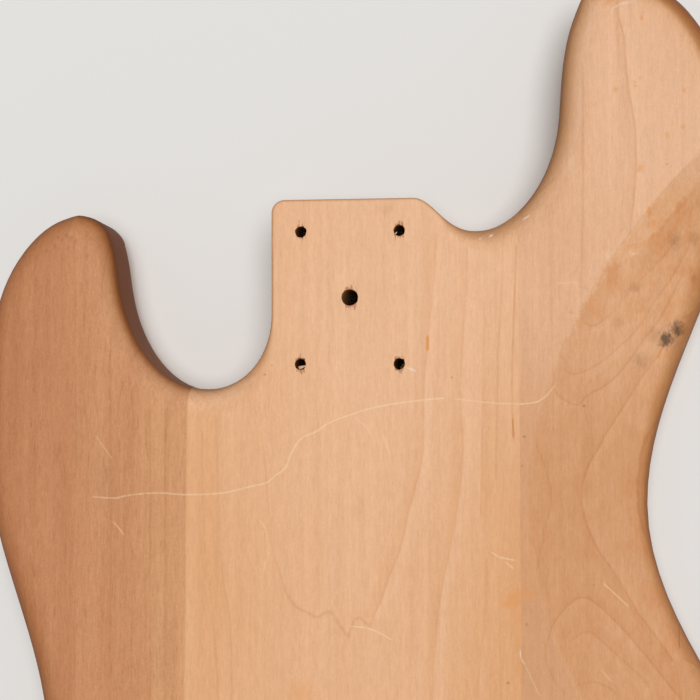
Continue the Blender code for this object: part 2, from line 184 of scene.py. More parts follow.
def outlineSamples():
    points = outlineWay()
    steps = bodyShape["stepsPerBend"]
    along = [after - before for before, after in zip(points[-1:] + points[:-1], points[1:] + points[:1])]
    outward = [Vector((-way.y, way.x)).normalized() for way in along]
    rounded = [row[3] if len(row) > 3 else softEdge for row in outlinePoints]
    shares = [share * share * (3 - 2 * share) for share in (step / steps for step in range(steps))]
    edges = []
    for side in (0, 1):
        bends = zip(rounded, rounded[1:] + rounded[:1])
        wanted = [mix(near[side], far[side], share) for near, far in bends for share in shares]
        edges.append(fittingEdges(points, outward, wanted))
    return points, outward, edges


def grown(bm, ring, places, closed=True):
    # extrudes a row of vertices and moves the new row to its places
    edges = [bm.edges.get(pair) for pair in zip(ring, ring[1:] + ring[:1] if closed else ring[1:])]
    made = bmesh.ops.extrude_edge_only(bm, edges=edges)["geom"]
    fresh = {item for item in made if isinstance(item, bmesh.types.BMVert)}
    row = []
    for vertex, place in zip(ring, places):
        twin = next(edge.other_vert(vertex) for edge in vertex.link_edges if edge.other_vert(vertex) in fresh)
        twin.co = place
        row.append(twin)
    return row


def edgeRing(samples, step, back):
    # places on the roundover: step 0 on the wall, the last step on the face
    points, outward, edges = samples
    angle = math.radians(90) * step / bodyShape["edgeRings"]
    places = []
    for point, way, radius in zip(points, outward, edges[0 if back else 1]):
        inner = point - way * radius * (1 - math.cos(angle))
        fall = radius * (1 - math.sin(angle))
        height = backHeight(inner) - fall if back else frontHeight(inner) + fall
        places.append((*inner, height))
    return places


def closeFace(bm, ring, outward, scoop, height, level):
    # a scoop's floor runs from its ring out to the rim, and the flat rest is one face inside a narrow border
    count = len(ring)
    low = [scoopDepth(scoop, vertex.co.xy) > 1e-7 for vertex in ring]
    first = next(place for place in range(count) if low[place] and not low[place - 1])
    length = next(step for step in range(count) if not low[(first + step) % count])
    places = [(first - 1 + step) % count for step in range(length + 2)]
    scooped = [ring[place] for place in places]
    starts = [vertex.co.xy for vertex in scooped]
    aside = [(start - scoop["start"]).cross(scoop["way"]) for start in starts]
    across = Vector((scoop["way"].y, -scoop["way"].x))
    rim = []
    for step in range(len(scooped)):
        sideways = mix(aside[0], aside[-1], step / (len(scooped) - 1))
        reach = sideways * sideways / (2 * scoop["roundness"] * scoop["slope"])
        rim.append(scoop["start"] + scoop["way"] * reach + across * sideways)
    rim[0], rim[-1] = starts[0], starts[-1]
    flatPlaces = [(places[-1] + step) % count for step in range(count - len(places) + 2)]
    inset = bodyShape["supportInset"]
    border = [(*(ring[place].co.xy - outward[place] * inset), level) for place in flatPlaces]
    row, floor = scooped, []
    for step in range(1, bodyShape["scoopRows"] + 1):
        spots = [start.lerp(end, step / bodyShape["scoopRows"]) for start, end in zip(starts, rim)]
        row = grown(bm, row, [(*spot, height(spot)) for spot in spots], closed=False)
        floor += row
    for place in range(len(row)):
        row[place].co.z = level
        if place:
            bm.edges.get((row[place - 1], row[place])).smooth = False  # the scoop's rim stays crisp
    grown(bm, [ring[place] for place in flatPlaces], border, closed=False)
    bmesh.ops.remove_doubles(bm, verts=floor + [scooped[0], scooped[-1]], dist=1e-6)
    gap = [e for e in bm.edges if e.is_boundary and all(abs(v.co.z - level) < 1e-6 for v in e.verts)]
    bmesh.ops.holes_fill(bm, edges=gap, sides=0)


def outerForm():
    samples = outlineSamples()
    outward = samples[1]
    bm = bmesh.new()
    wall = [bm.verts.new(place) for place in edgeRing(samples, 0, True)]
    for place in range(len(wall)):
        bm.edges.new((wall[place - 1], wall[place]))
    lower = grown(bm, wall, edgeRing(samples, 0, False))
    upper = wall
    for step in range(1, bodyShape["edgeRings"] + 1):
        lower = grown(bm, lower, edgeRing(samples, step, False))
        upper = grown(bm, upper, edgeRing(samples, step, True))
    closeFace(bm, upper, outward, hipScoop, backHeight, thickness)
    closeFace(bm, lower, outward, forearmScoop, frontHeight, 0)
    return meshObject("outerForm", bm)


# Routes and holes

routes = {
    "pastFace": 0.004,
    "pocketLength": 0.079, "pocketDepth": 0.0159, "pocketInside": 0.0635, "pocketAtHeel": 0.062,
    "pocketCorner": 0.008,
    "pickupSpots": (0.1524, 0.061), "earSpacing": 0.074,
    "pickup": (0.0955, 0.02, 0.02, 0.004),  # length, width, depth and corner radius
    "ear": (0.013, 0.033, 0.02, 0.0065),
    "controlTop": (-0.085, 0.064), "controlBottom": (-0.097, -0.023), "controlWidth": 0.038,
    "controlDepth": 0.035,
    "channel": 0.008, "channelDepth": 0.013, "channelAside": -0.015,
    "earth": 0.0032, "earthSpot": (-0.015, -0.012),
    "screw": 0.0026, "screwDepth": 0.018, "screwPitch": 0.0152, "screwRow": -0.033, "screwCount": 5,
    "strap": 0.003, "strapDepth": 0.022,
    "smallSides": 20, "cornerSides": 10,
}


def boxMesh(low, high):
    bm = bmesh.new()
    bmesh.ops.create_cube(bm, size=2)
    for vertex in bm.verts:
        vertex.co = [high[axis] if vertex.co[axis] > 0 else low[axis] for axis in range(3)]
    return bm


def uprights(bm, keep=lambda corner: True):
    return [
        edge for edge in bm.edges
        if (edge.verts[0].co.xy - edge.verts[1].co.xy).length < 1e-6 and keep(edge.verts[0].co)
    ]


def roundUprights(bm, edges, radius):
    bmesh.ops.bevel(bm, geom=edges, offset=radius, segments=routes["cornerSides"], profile=0.5,
                    affect="EDGES", material=-1)


def slotCutter(name, centre, length, width, depth, corner, turned=0):
    bm = boxMesh((-length / 2, -width / 2, -routes["pastFace"]), (length / 2, width / 2, depth))
    roundUprights(bm, uprights(bm), min(corner, 0.499 * length, 0.499 * width))
    place = Matrix.Translation((*centre, 0)) @ Matrix.Rotation(turned, 4, "Z")
    bmesh.ops.transform(bm, matrix=place, verts=bm.verts)
    return meshObject(name, bm)


def drillCutter(name, start, end, diameter):
    start, end = Vector(start), Vector(end)
    turned = (end - start).to_track_quat("Z", "Y").to_matrix().to_4x4()
    bm = bmesh.new()
    bmesh.ops.create_cone(bm, cap_ends=True, segments=routes["smallSides"], radius1=diameter / 2,
                          radius2=diameter / 2, depth=(end - start).length,
                          matrix=Matrix.Translation((start + end) / 2) @ turned)
    return meshObject(name, bm)


def pocketCutter():
    heel = heelY + routes["pastFace"]
    inner = heelY - routes["pocketLength"]
    half = routes["pocketInside"] / 2
    bm = boxMesh((-half, inner, -routes["pastFace"]), (half, heel, routes["pocketDepth"]))
    for vertex in bm.verts:
        if vertex.co.y > heelY:
            vertex.co.x *= routes["pocketAtHeel"] / routes["pocketInside"]
    roundUprights(bm, uprights(bm, lambda corner: corner.y < inner + 0.01), routes["pocketCorner"])
    return meshObject("neckPocket", bm)


def pickupCutters():
    made = []
    for spot in routes["pickupSpots"]:
        made.append(slotCutter("pickupRoute", (0, spot), *routes["pickup"]))
        for side in (-1, 1):
            made.append(slotCutter("pickupEar", (side * routes["earSpacing"] / 2, spot), *routes["ear"]))
    return made


def controlCutter():
    top, bottom = Vector(routes["controlTop"]), Vector(routes["controlBottom"])
    run = top - bottom
    return slotCutter("controlRoute", (top + bottom) / 2, run.length + routes["controlWidth"],
                      routes["controlWidth"], routes["controlDepth"], routes["controlWidth"] / 2,
                      math.atan2(run.y, run.x))


def smallCutters():
    depth, aside, past = routes["channelDepth"], routes["channelAside"], routes["pastFace"]
    neckSpot, bridgeSpot = routes["pickupSpots"]
    start = Vector((*routes["earthSpot"], 0))
    end = Vector((*routes["controlBottom"], routes["controlDepth"] / 2))
    way = (end - start).normalized()
    drills = [
        ("pickupChannel", (aside, neckSpot, depth), (aside, bridgeSpot, depth), routes["channel"]),
        ("controlChannel", (-routes["earSpacing"] / 2, bridgeSpot, depth), (*routes["controlTop"], depth),
         routes["channel"]),
        ("earthHole", start - way * past / way.z, end, routes["earth"]),
    ]
    for place in range(routes["screwCount"]):
        spot = ((place - (routes["screwCount"] - 1) / 2) * routes["screwPitch"], routes["screwRow"])
        drills.append(("bridgePilot", (*spot, -past), (*spot, routes["screwDepth"]), routes["screw"]))
    for (x, y, *_), inward in ((outlinePoints[9], -1), (outlinePoints[15], 1)):
        ends = [(x, y + heelY + inward * reach, thickness / 2) for reach in (-past, routes["strapDepth"])]
        drills.append(("strapPilot", *ends, routes["strap"]))
    return [drillCutter(*drill) for drill in drills]


boltHoles = {
    "bolt": 0.0042, "hanging": 0.0062,
    "spots": ((-0.019, -0.0127), (0.019, -0.0127), (-0.019, -0.0637), (0.019, -0.0637)),
    "middle": (0, -0.0382),
    "lean": (0.1, -0.07),  # the hanging hole leans: its way across for each step down
    "chipDepth": 0.0006, "chipReach": 0.0009,
    "sides": 56,
}


def boltCutter(spot, diameter, seed, lean=(0, 0)):
    # a drilled hole whose rim is torn a little, more along the grain than across it
    draw = random.Random(seed)
    bumps = [(draw.uniform(0, math.tau), draw.uniform(0.15, 0.4), draw.uniform(0.2, 1)) for _ in range(7)]
    centre = Vector((spot[0], spot[1] + heelY))
    lean = Vector(lean)
    low = routes["pocketDepth"] - routes["pastFace"]
    high = thickness
    chip = boltHoles["chipDepth"]
    levels = [(low, 0), (high - chip * 1.6, 0), (high - chip * 0.5, 0.45), (high + 0.00002, 1),
              (high + routes["pastFace"], 1)]
    bm = bmesh.new()
    made = bmesh.ops.create_circle(bm, segments=boltHoles["sides"], radius=diameter / 2, cap_ends=True)
    ring = made["verts"]
    ways = [vertex.co.xy.normalized() for vertex in ring]
    bmesh.ops.translate(bm, verts=ring, vec=(*(centre + lean * (high - low)), low))
    reach = []
    for way in ways:
        angle = math.atan2(way.y, way.x)
        along = abs(math.sin(angle)) ** 3
        torn = 0.06 + sum(size * max(0, 1 - abs((angle - at + math.pi) % math.tau - math.pi) / width)
                          for at, width, size in bumps) * (0.2 + 0.8 * along)
        reach.append(torn * boltHoles["chipReach"])
    for level, share in levels[1:]:
        middle = centre + lean * (high - level)
        places = [(*(middle + way * (diameter / 2 + far * share)), level) for way, far in zip(ways, reach)]
        ring = grown(bm, ring, places)
    bmesh.ops.contextual_create(bm, geom=ring)
    bmesh.ops.recalc_face_normals(bm, faces=bm.faces)
    return meshObject("boltHole", bm)


def boltCutters():
    made = [boltCutter(spot, boltHoles["bolt"], 11 + place) for place, spot in enumerate(boltHoles["spots"])]
    return made + [boltCutter(boltHoles["middle"], boltHoles["hanging"], 23, boltHoles["lean"])]


# Shader maths

class Signal:
    # wraps a shader socket, so that the wood's patterns read as plain expressions
    def __init__(self, tree, socket=None):
        self.tree = tree
        self.socket = socket

    def node(self, kind, settings=None, values=None, output=0):
        made = self.tree.nodes.new("ShaderNode" + kind)
        for name, value in (settings or {}).items():
            setattr(made, name, value)
        for place, value in (values or {}).items():
            if isinstance(value, Signal):
                self.tree.links.new(value.socket, made.inputs[place])
            else:
                made.inputs[place].default_value = value
        return Signal(self.tree, made.outputs[output])

    def also(self, output):
        return Signal(self.tree, self.socket.node.outputs[output])

    def maths(self, operation, *others):
        return self.node("Math", {"operation": operation}, dict(enumerate((self, *others))))

    __add__ = __radd__ = partialmethod(maths, "ADD")
    __sub__ = partialmethod(maths, "SUBTRACT")
    __mul__ = __rmul__ = partialmethod(maths, "MULTIPLY")
    __truediv__ = partialmethod(maths, "DIVIDE")
    __pow__ = partialmethod(maths, "POWER")
    __abs__ = partialmethod(maths, "ABSOLUTE")
    root = partialmethod(maths, "SQRT")
    upper = partialmethod(maths, "MAXIMUM")
    fraction = partialmethod(maths, "FRACT")

    def __rsub__(self, other):
        return self.node("Math", {"operation": "SUBTRACT"}, {0: other, 1: self})

    def into(self, node, place):
        self.tree.links.new(self.socket, node.inputs[place])

    def rise(self, start, end, full=1):
        # 0 at start and full at end, smooth between
        smooth = {"interpolation_type": "SMOOTHSTEP"}
        return self.node("MapRange", smooth, {0: self, 1: start, 2: end, 4: full})

    def fall(self, start, end, full=1):
        return self.rise(end, start, full)

    def follow(self, line):
        # reads a smooth line through points
        made = self.node("FloatCurve", {}, {"Value": self})
        mapping = made.socket.node.mapping
        mapping.use_clip = False
        points = mapping.curves[0].points
        while len(points) < len(line):
            points.new(0.5, 0.5)
        for point, spot in zip(points, line):
            point.location = spot
            point.handle_type = "AUTO_CLAMPED"
        mapping.update()
        return made

    def vectorMaths(self, operation, output, *others):
        return self.node("VectorMath", {"operation": operation}, dict(enumerate((self, *others))), output)

    def dot(self, way):
        return self.vectorMaths("DOT_PRODUCT", 1, way)

    def tint(self, other, share=1):
        # multiplies a colour by another one
        kind = {"data_type": "RGBA", "blend_type": "MULTIPLY"}
        return self.node("Mix", kind, {0: share, 6: self, 7: other}, 2)

    def warmed(self, green, blue):
        # grey 1 stays white, and what is darker turns reddish by the powers of green and blue
        return self.node("CombineColor", {}, {0: self, 1: self ** green, 2: self ** blue})

    def noise(self, scale, detail, rough):
        # even noise from 0 to 1, with a scale for each axis
        place = self.vectorMaths("MULTIPLY", 0, scale)
        return self.node("TexNoise", {}, {"Vector": place, "Scale": 1, "Detail": detail, "Roughness": rough})


class Board:
    # what a stave's material knows of the point that it colours, in mm from the heel's end and the back face
    def __init__(self, tree):
        start = Signal(tree)
        self.spot = start.node("TexCoord", output="Object")
        across = start.node("SeparateXYZ", {}, {0: self.spot})
        self.x = across * 1000
        self.y = (across.also("Y") - heelY) * 1000
        self.z = (across.also("Z") - thickness) * 1000
        self.sideways = start.node("SeparateXYZ", {}, {0: start.node("NewGeometry", output="Normal")})
        self.endways = self.sideways.also("Y")
        self.upwards = self.sideways.also("Z")
        self.flat = start.node("CombineXYZ", {}, {0: self.x, 1: self.y})
        self.crumble = self.noise("crumble")
        self.ragged = (self.crumble - 0.5) * 1.6

    def noise(self, name):
        return self.spot.noise(*woodNoise[name])

    def stroke(self, along, line):
        # signed distance to a line drawn on the back, and 1 between its ends
        run, across = (self.x, self.y) if along == "x" else (self.y, self.x)
        level = run.follow(line)
        gap = across - level
        if max(abs((b[1] - a[1]) / (b[0] - a[0])) for a, b in zip(line, line[1:])) > 0.4:
            slope = (run + 1).follow(line) - level
            gap = gap / (slope * slope + 1).root()
        middle, half = (line[0][0] + line[-1][0]) / 2, (line[-1][0] - line[0][0]) / 2
        return gap, abs(run - middle).fall(half - 0.8, half + 0.8)

    def blot(self, x, y, reach, squash, strength):
        # a round or long patch with a ragged rim
        scale = (1 / reach, 1 / (reach * squash), 0)
        place = (-x * scale[0], -y * scale[1], 0)
        offset = self.flat.vectorMaths("MULTIPLY_ADD", 0, scale, place)
        gap = offset.vectorMaths("LENGTH", 1)
        return (gap + self.ragged).fall(0.1, 1.05, strength)

    def scratch(self, x, y, endX, endY, width, strength):
        start, way = Vector((x, y)), Vector((endX, endY)) - Vector((x, y))
        half = way.length / 2
        way.normalize()
        aside = Vector((-way.y, way.x))
        along = abs(self.flat.dot((*way, 0)) - (start.dot(way) + half))
        gap = abs(self.flat.dot((*aside, 0)) - start.dot(aside))
        return gap.fall(width * 0.3, width, strength) * along.fall(half - 1, half + 0.6)


def newMaterial(name, rough, shine):
    material = bpy.data.materials.new(name)
    material.use_nodes = True
    shader = material.node_tree.nodes["Principled BSDF"]
    shader.inputs["Roughness"].default_value = rough
    shader.inputs["Specular IOR Level"].default_value = shine
    return material, shader


# Wood

# features per metre across, along and through the grain, then detail and roughness
woodNoise = {
    "fibre": ((1250, 210, 1250), 3, 0.65),
    "thread": ((420, 9, 420), 3, 0.6),
    "streak": ((120, 5, 120), 3, 0.55),
    "blotch": ((34, 16, 34), 3, 0.5),
    "fuzz": ((1300, 1000, 1300), 2, 0.7),
    "pore": ((1500, 130, 1500), 2, 0.6),
    "crumble": ((650, 420, 650), 3, 0.6),
    "sway": ((9, 5, 9), 2, 0.5),
    "ripple": ((60, 22, 60), 3, 0.5),
    "wear": ((70, 22, 70), 2, 0.5),
    "tear": ((1700, 420, 1700), 2, 0.5),
    "grime": ((150, 110, 150), 4, 0.6),
}

woodWays = {
    "ringEdge": 0.46,  # half width of a growth ring's edge on the surface, in mm
    "backLinesFrom": -212,  # the lines of the photograph end here, in mm from the heel's end
    "shadeWarmth": (1.25, 1.6),  # powers of green and blue
    "lineTint": (0.75, 1.3, 1.75),  # how much red, green and blue a line takes away
    # power of green in the painted shade on walls and roundovers; each look gives its power of blue
    "paintedShadeGreen": 1.55,
    "endGrain": 0.22,  # how much darker the wood is where its fibres are cut across
    "relief": 0.00012,  # how deep the grain is, in metres
    "pale": (0.93, 0.68, 0.43),
    "amber": (0.72, 0.29, 0.075),
    # a reddish brown for stains and torn fibre, also used as painted shade along the bass horn's edge and
    # inside the bolt holes
    "rustAndShade": (0.36, 0.115, 0.03),
    # a near black for soot marks, also used as painted shade deep in the bolt holes
    "sootAndShade": (0.045, 0.028, 0.02),
    "chalk": (0.9, 0.88, 0.84),
}


def blended(share, first, second):
    # from the first colour to the second one, each a signal or red, green and blue
    ends = [end if isinstance(end, Signal) else (*end, 1) for end in (first, second)]
    return share.node("Mix", {"data_type": "RGBA"}, {0: share, 6: ends[0], 7: ends[1]}, 2)


def ringLines(board, look):
    # growth rings round the heart of the trunk, which lies under the board
    x, y, z = board.x, board.y, board.z
    sway = board.noise("sway") - 0.5
    ripple = board.noise("ripple") - 0.5
    across = x - y.follow(look["heartX"]) + sway * look["sway"]
    deep = z + y.follow(look["heartDepth"]) + ripple * look["ripple"]
    radius = (across * across + deep * deep).root()
    ring = radius.follow(list(zip(look["rings"], range(len(look["rings"])))))
    toEdge = abs((ring + 0.5).fraction() - 0.5) * look["ringWidth"]
    towards = (board.sideways * across + board.upwards * deep) / radius
    steep = (1 - towards * towards).upper(0.0004).root().upper(0.06)
    line = (toEdge / steep).fall(woodWays["ringEdge"] * 0.3, woodWays["ringEdge"] * 1.6)
    return line, ring.fraction()


def strongest(masks):
    return reduce(Signal.upper, masks)


def grainLines(board, lines):
    # the lines and tone steps that the photograph shows on the back
    marks, steps = [], []
    for along, strength, lift, way in lines:
        gap, ends = board.stroke(along, way)
        marks.append(abs(gap).fall(woodWays["ringEdge"] * 0.25, woodWays["ringEdge"] * 1.5, strength) * ends)
        if lift:
            steps.append((gap.rise(-0.4, 0.4) - 0.5) * abs(gap).fall(0.5, 6.5, 2 * lift) * ends)
    return strongest(marks), sum(steps)


def markMask(board, marks):
    # strokes, scratches and blots of one colour
    masks = []
    broken = board.crumble.rise(0.35, 0.62) * 0.45 + 0.55
    for along, width, strength, way in marks.get("strokes", ()):
        gap, ends = board.stroke(along, way)
        gap = abs(gap + board.ragged * min(width, 1.5) * 0.5)
        masks.append(gap.fall(width * 0.35, width, strength) * ends * (broken if width < 2 else 1))
    masks += [board.scratch(*scratch) for scratch in marks.get("scratches", ())]
    masks += [board.blot(*blot) for blot in marks.get("blots", ())]
    return strongest(masks)


def woodMaterial(name, look, special=None):
    material, shader = newMaterial(name, look["rough"], look["shine"])
    board = Board(material.node_tree)
    x, y = board.x, board.y
    onBack = board.upwards.rise(0.7, 0.93)
    pictured = onBack * y.rise(woodWays["backLinesFrom"], woodWays["backLinesFrom"] + 25)
    ring, part = ringLines(board, look)
    ring = ring * (1 - pictured) * look["line"]
    part = (0.5 - part) * (1 - pictured) * look["bands"]
    wear = board.noise("wear").rise(0.3, 0.58) * 0.65 + 0.35
    drawn, step = grainLines(board, look["backLines"])
    line = (ring + drawn * onBack * look["line"]) * wear

    fibre, thread, streak, blotch, fuzz = (
        board.noise(name) - 0.5 for name in ("fibre", "thread", "streak", "blotch", "fuzz"))
    pore = board.noise("pore").rise(look["poreFrom"], look["poreFrom"] + 0.11)

    lower = y.rise(*look["lowerPart"])
    tone = x.follow(look["toneAbove"]) * (1 - lower) + x.follow(look["toneBelow"]) * lower
    tone = tone + streak * look["streak"] + blotch * look["blotch"] + part + step * onBack
    colour = blended(tone.rise(-0.2, 1.2), look["dark"], look["light"])
    shade = 1 + fibre * look["fibre"] + fuzz * look["fuzz"] + thread * look["thread"]
    shade = shade * (1 - pore * look["pore"])
    shade = shade * (1 - abs(board.endways) ** 3 * woodWays["endGrain"])
    colour = colour.tint(shade.warmed(*woodWays["shadeWarmth"]))
    lineTint = {place: 1 - line * share for place, share in enumerate(woodWays["lineTint"])}
    colour = colour.tint(line.node("CombineColor", {}, lineTint))
    # painted light and shade: walls facing right, left or up are lightened or darkened along y, as a lamp
    # from one side would light them
    paintedSideShading = board.sideways.rise(0.1, 0.8) * y.follow(look["rightPaintedShading"])
    paintedSideShading = paintedSideShading + board.sideways.fall(-0.8, -0.1) * y.follow(look["leftPaintedShading"])
    paintedSideShading = paintedSideShading * board.upwards.rise(0.15, 0.6)
    upper = board.endways.rise(0.1, 0.8) * y.follow(look["upperPaintedShading"])
    upper = upper * board.upwards.rise(look["upperShadingFrom"], 0.6)
    # painted shade: walls and roundovers darken the further they turn from the back, with the side light and
    # shade added
    edge = abs(board.upwards).follow(look["edge"]) + paintedSideShading + upper
    colour = colour.tint(edge.warmed(woodWays["paintedShadeGreen"], look["paintedShadeBlue"]))
    height = fibre * 0.5 + fuzz * 0.3 - pore * 0.8 - line * 0.5
    for ink in ("pale", "rustAndShade", "sootAndShade", "amber", "chalk"):
        if ink in look:
            mask = markMask(board, look[ink]) * board.upwards.rise(0.2, 0.5)
            colour = blended(mask, colour, woodWays[ink])
    if special:
        colour, height = special(board, colour, height)
    colour.into(shader, "Base Color")
    (look["rough"] + fibre * 0.14 + streak * 0.08).into(shader, "Roughness")
    bump = height.node("Bump", {}, {"Strength": 0.4, "Distance": woodWays["relief"], "Height": height})
    bump.into(shader, "Normal")
    return material


# The looks' tables are in mm, x from the centreline and y from the heel's end. A back line has its running
# axis, strength, step of tone beside it and points; a stroke has its axis, width, strength and points; a
# scratch has both ends, width and strength; a blot has x, y, reach, stretch along the grain and strength.
# In each look, the curves for the right, left and upper sides and the edge curve paint light and shade on
# walls and roundovers by which way they face.

# the long curved scratch runs over all three staves
longScratch = [
    (-100, -114.5), (-91.1, -114.9), (-87.2, -114.1), (-73, -112.9), (-63.6, -113.5), (-49.6, -112.9),
    (-43.4, -111.7), (-37.5, -110.2), (-31.4, -108.6), (-28.7, -106.3), (-24.8, -103.3), (-22.1, -97.2),
    (-18.7, -92.2), (-13.3, -89.6), (-7.5, -86), (0.2, -83.1), (8.6, -80.5), (20.8, -78.4), (28.4, -77.5),
    (36, -76.8),
]
longScratchEnd = [
    (40.1, -77.2), (51.1, -78.4), (62.7, -79.1), (70.2, -78.6), (74.3, -76.2), (77.4, -72.4),
]

trebleLook = {
    "heartX": [(-430, -330), (100, -322)], "heartDepth": [(-430, 40), (100, 34)], "sway": 16, "ripple": 6,
    "ringWidth": 13.5, "rings": [120 + 13.5 * place for place in range(16)], "lowerPart": (-40, -190),
    "toneAbove": [(-178, 0.02), (-131, 0.08), (-122, 0.26), (-112, 0.42), (-80, 0.6), (-63, 0.84)],
    "toneBelow": [(-178, 0), (-134, 0.02), (-125, 0.14), (-110, 0.32), (-90, 0.52), (-76, 0.76), (-63, 0.92)],
    "streak": 0.9, "blotch": 0.35, "bands": 0.1, "thread": 0.2, "fibre": 0.36, "fuzz": 0.26, "line": 0.1,
    "poreFrom": 0.6, "pore": 0.11, "rough": 0.56, "paintedShadeBlue": 2.55, "upperShadingFrom": -0.6, "shine": 0.09,
    "rightPaintedShading": [(-100, 0.12), (-60, 0.12), (-25, 0.12), (-5, -0.1)],
    "leftPaintedShading": [(-230, -0.12), (-160, -0.12), (-120, -0.07), (-40, -0.06), (0, -0.02)],
    "upperPaintedShading": [(-100, 0.15), (-60, 0.15), (-30, 0), (-8, -0.07)],
    "edge": [(-0.3, 0.37), (0, 0.36), (0.2, 0.38), (0.4, 0.6), (0.62, 0.86), (0.85, 0.97), (0.98, 1),
        (1.2, 1)],
    "dark": (0.48, 0.193, 0.085), "light": (0.67, 0.34, 0.166),
}
trebleLook["backLines"] = [
    ("y", 0.7, 0, [(-430, -108), (-154, -106.5), (-38, -107.8), (0, -109)]),
    ("y", 0.6, 0, [(-430, -93), (-173, -92.5), (-38, -93.9), (0, -95)]),
    ("y", 1.2, 0.05, [(-430, -76), (-192, -76.6), (-81, -77.6)]),
    ("y", 0.8, -0.06, [(-430, -69.5), (-192, -70.8), (-81, -71.7)]),
]
trebleLook["pale"] = {
    "strokes": [("x", 0.46, 0.38, longScratch)],
    "scratches": [(-98.9, -91, -92.4, -99.9, 0.4, 0.2), (-91.4, -124.1, -87.4, -129.1, 0.5, 0.3)],
}
trebleLook["rustAndShade"] = {
    "scratches": [(-124.9, -85.5, -124.8, -87.9, 0.4, 0.3), (-121.9, -94.1, -121.9, -96.4, 0.4, 0.3),
        (-118.6, -104.9, -118.4, -107.3, 0.4, 0.3), (-115.9, -99.9, -115.8, -102.2, 0.4, 0.3),
        (-120.1, -114.6, -120, -116.9, 0.4, 0.3), (-122.8, -153.5, -122.5, -157.3, 0.4, 0.3),
        (-121.5, -130.4, -121.4, -133.1, 0.4, 0.3), (-118.9, -110.7, -118.9, -112.7, 0.4, 0.3)],
}
trebleLook["sootAndShade"] = {
    "blots": [(-97, -108, 9, 1.4, 0.05), (-71, -173, 7, 3, 0.06), (-115, -13.2, 0.9, 1.5, 0.2),
        (-113.3, -14.4, 0.8, 1.6, 0.24), (-111.7, -12.6, 1.2, 1.2, 0.18), (-109.7, -13.7, 1.1, 1.8, 0.2),
        (-107.8, -15.2, 0.8, 2, 0.18), (-110.9, -17.6, 0.7, 2, 0.16), (-116.4, -16.9, 0.9, 1.6, 0.18),
        (-104, -13, 0.8, 1.5, 0.16), (-119.5, -18.5, 0.8, 1.3, 0.16), (-103.5, -21, 0.7, 4, 0.14)],
}

centreLook = {
    "heartX": [(-430, -14), (-170, -8), (-150, -6.5), (-135, -4.9), (-115, -4), (-96, -3.4), (-78, -2.6),
        (-55, -2), (-12, 0), (10, 0.5)],
    "heartDepth": [(-430, 78), (-240, 71), (-166, 67.6), (-160, 66.8), (-150, 64.7), (-138, 63.4), (-123, 62),
        (-96, 60.5), (-78, 59.9), (-55, 59.6), (-12, 58.4), (10, 58.2)],
    "sway": 2, "ripple": 1.3, "ringWidth": 6, "rings": [20, 40, 67.5, 74, 78.5, 82, 88, 93, 99, 105, 112],
    "lowerPart": (-20, -150), "toneAbove": [(-64, 0.5), (-30, 0.76), (0, 0.9), (30, 0.94), (64, 0.82)],
    "toneBelow": [(-64, 0.4), (-59, 0.3), (-40, 0.44), (-10, 0.6), (25, 0.6), (45, 0.36), (64, 0.06)],
    "streak": 0.42, "blotch": 0.4, "bands": 0.16, "thread": 0.17, "fibre": 0.3, "fuzz": 0.14, "line": 0.09,
    "poreFrom": 0.66, "pore": 0.06, "rough": 0.55, "paintedShadeBlue": 2.4, "upperShadingFrom": 0.15, "shine": 0.22,
    "rightPaintedShading": [(-100, 0), (0, 0)], "leftPaintedShading": [(-100, -0.04), (0, -0.04)],
    "upperPaintedShading": [(-100, 0.25), (-68, 0.25), (-40, 0), (-13, -0.04), (0, -0.06)],
    "edge": [(-0.3, 0.52), (0, 0.52), (0.2, 0.58), (0.45, 0.76), (0.75, 0.93), (0.96, 1), (1.2, 1)],
    "dark": (0.7, 0.345, 0.15), "light": (0.802, 0.473, 0.278),
}
centreLook["backLines"] = [
    ("y", 0.7, 0, [(-430, -47), (-191, -50.3), (-161, -52.4), (-150, -53.6), (-131, -56.1), (-89, -57.1)]),
    ("y", 0.8, 0.05, [(-430, -40), (-191, -44.9), (-169, -45.4), (-157, -46.2), (-150, -47.8), (-138, -49.4),
        (-123, -50.3), (-93, -51.2), (-83, -51.7)]),
    ("y", 1, 0.05, [(-147.6, -25), (-142, -27), (-134, -29.3), (-127, -30.1), (-115, -31.3), (-106, -32.1),
        (-98, -32.9), (-89, -34.2)]),
    ("y", 1, 0.2, [(-159.7, 9), (-153, 12), (-143.5, 15.4), (-136, 18.5), (-128, 20.7), (-119, 22.6),
        (-111, 24.9), (-104, 26.8), (-96, 28), (-70, 28.4), (-58, 29.6), (-39, 31.5), (-14, 33.5)]),
    ("y", 0.8, 0.18, [(-430, 24), (-186, 31.6), (-168, 32.7), (-153, 34.3), (-130, 38.9), (-117, 41.2),
        (-93, 43.1), (-78, 42.4), (-55, 43.2), (-39, 44.4), (-20, 45)]),
    ("y", 0.7, -0.1, [(-122, 49.6), (-96, 50.3), (-78, 50.7), (-40, 51.2)]),
    ("y", 1, 0, [(-108, 55.4), (-85, 55.9), (-62, 56.4), (-40, 57.7), (-14, 58.6)]),
    ("y", 1.9, 0, [(-93, 62.3), (-77, 61.6), (-55, 62.1), (-19, 63.6)]),
    ("y", 0.7, 0.06, [(-430, 38), (-190, 48), (-175, 49.2), (-160, 51.1), (-137, 52)]),
    ("y", 0.9, 0, [(-430, -63.3), (-60, -63.3)]), ("y", 0.6, 0, [(-430, 64.5), (10, 64.5)]),
]
